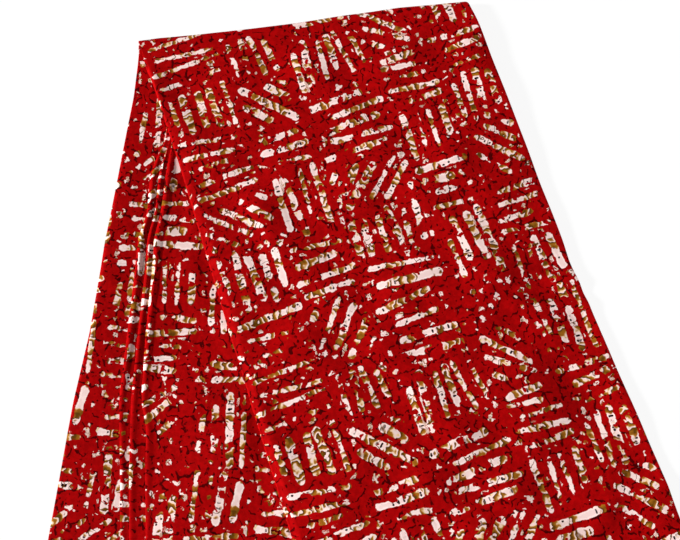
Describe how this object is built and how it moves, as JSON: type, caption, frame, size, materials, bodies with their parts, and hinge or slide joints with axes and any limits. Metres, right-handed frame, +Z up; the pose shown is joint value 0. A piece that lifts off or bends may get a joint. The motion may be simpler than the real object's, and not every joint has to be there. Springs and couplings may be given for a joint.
{
  "type": "folded wax print fabric",
  "caption": "Length of red wax print cotton, folded lengthwise into a flat band and laid over once on a skewed crease, so that one leg lies on the other.",
  "frame": {"origin": "centre of the part's plan box, on the surface that it rests on", "axes": "+Z up from the surface, +X to the right along the crease, which climbs 7.6 degrees towards +Y; both legs run from the crease towards -Y"},
  "size_m": [0.6777, 0.9858, 0.0101],
  "materials": {
    "wax_print_face": "smooth printed cotton, red ground with white and gold bars",
    "wax_print_inner": "the same cloth, inside the fold"
  },
  "bodies": {
    "root": {"front_leg_outer_ply": "wax_print_face", "front_leg_hidden_plies": "wax_print_inner", "back_leg_bottom_ply": "wax_print_face", "back_leg_second_ply": "wax_print_face", "back_leg_third_ply": "wax_print_face", "back_leg_top_ply": "wax_print_face"}
  },
  "joints": []
}
